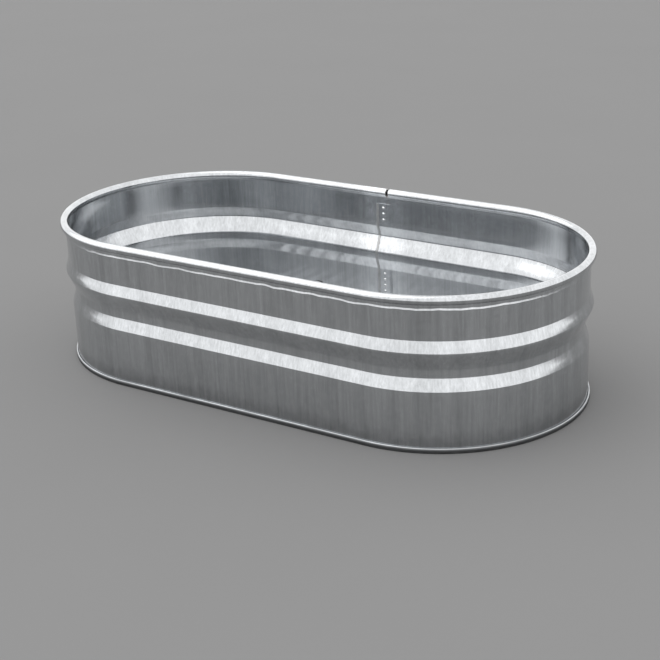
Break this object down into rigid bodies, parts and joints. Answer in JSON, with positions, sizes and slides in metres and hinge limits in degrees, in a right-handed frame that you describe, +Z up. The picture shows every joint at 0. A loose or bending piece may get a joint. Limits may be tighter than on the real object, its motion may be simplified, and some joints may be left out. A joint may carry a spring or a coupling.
{
  "type": "livestock water trough",
  "caption": "Low round-ended stock tank in beaded galvanised sheet, with a rolled rim, a ribbed floor, a riveted lap seam and a screw-plug drain.",
  "frame": {"origin": "on the ground under the centre of the tank", "axes": "+X along the tank's length, +Y towards the long side with the lap seam and the drain, +Z up"},
  "size_m": [1.2198, 0.6228, 0.315],
  "materials": {
    "galvanised_sheet": "hot-dip galvanised, satin to semi-bright, faint spangle",
    "steel_tube": "mill finish",
    "rivet_steel": "zinc plated",
    "sealing_compound": "cured sealing compound, matte",
    "drain_casting": "galvanised casting, satin",
    "black_rubber": "matte rubber",
    "plug_brass": "turned brass, dulled"
  },
  "bodies": {
    "tank": {"side_wall": "galvanised_sheet", "floor_pan": "galvanised_sheet", "rim_tube": "steel_tube", "seam_rivets": "rivet_steel", "seam_sealant": "sealing_compound", "base_sealant": "sealing_compound", "drain_spud": "drain_casting", "drain_gasket_inner": "black_rubber", "drain_gasket_outer": "black_rubber", "drain_washer": "rivet_steel", "drain_locknut": "drain_casting"},
    "plug_seal": {"plug_washer": "black_rubber"},
    "plug": {"drain_plug": "plug_brass"}
  },
  "joints": [
    {"name": "plug_draw", "type": "slide", "parent": "tank", "child": "plug_seal", "axis": [0, 1, 0], "range_m": [0, 0.01385]},
    {"name": "plug_turn", "type": "hinge", "parent": "plug_seal", "child": "plug", "pos_m": [-0.2, 0.306, 0.042], "axis": [0, 1, 0], "range_deg": [0, 2160]}
  ],
  "couplings": [
    {"joint": "plug_turn", "follows": "plug_draw", "rad_per_m": 2721.2}
  ]
}
